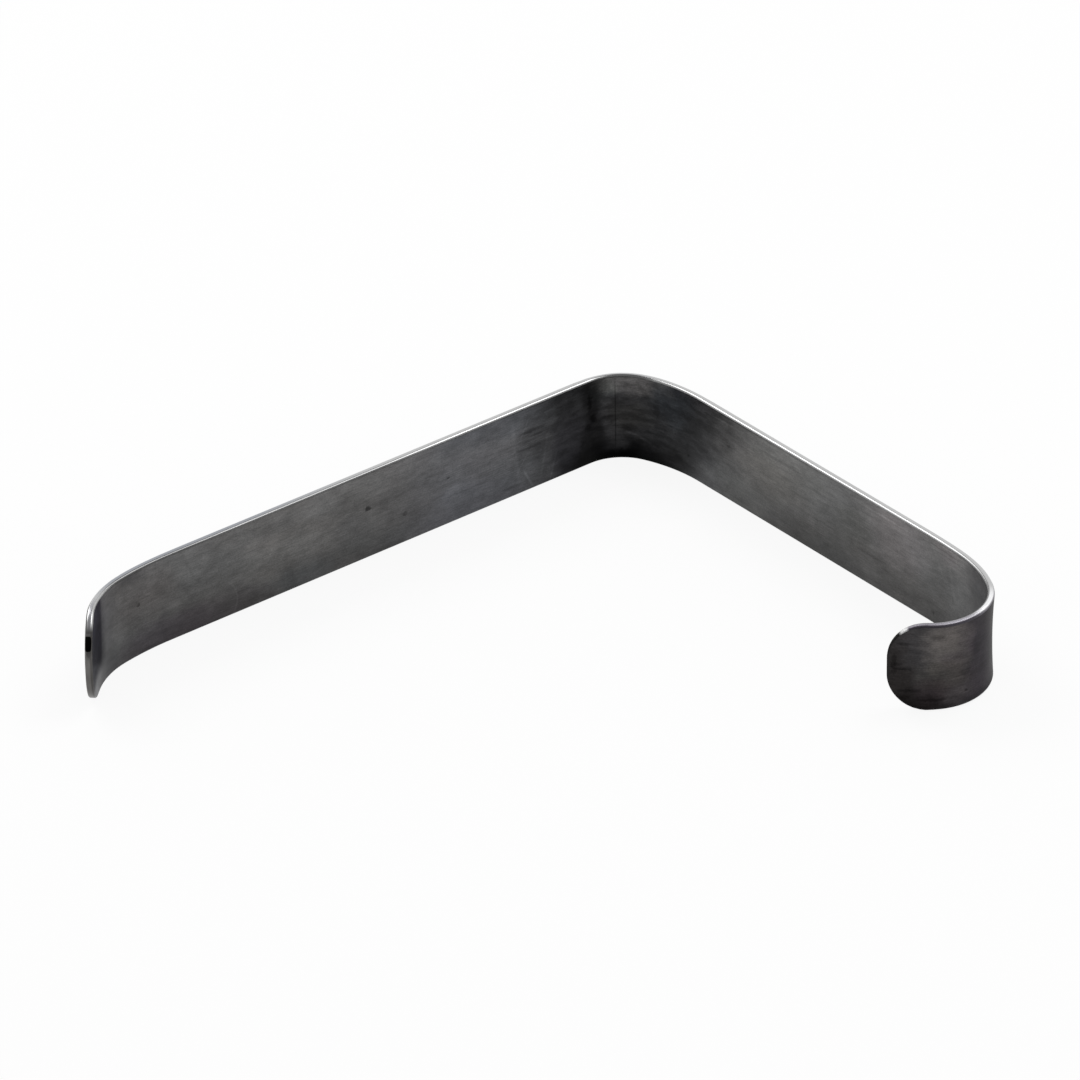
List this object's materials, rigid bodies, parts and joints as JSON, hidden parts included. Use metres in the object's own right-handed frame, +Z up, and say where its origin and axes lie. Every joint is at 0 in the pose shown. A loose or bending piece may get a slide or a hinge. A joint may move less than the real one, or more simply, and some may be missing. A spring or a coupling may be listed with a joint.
{
  "type": "handheld surgical retractor",
  "caption": "Flat steel strip bent to a long blade with a small curved lip, a right-angle heel and a handle that ends in a curled hook, for holding tissue aside by hand.",
  "frame": {"origin": "centre of the retractor's outline, on the surface that it stands on", "axes": "+X along the blade towards the heel, +Y towards the blade's outer face, +Z up across the strip's width"},
  "size_m": [0.189, 0.146, 0.025],
  "materials": {
    "strip_steel": "dark satin faces with fine scratches along the strip and brightly polished round edges"
  },
  "bodies": {
    "root": {"retractor_strip": "strip_steel"}
  },
  "joints": []
}
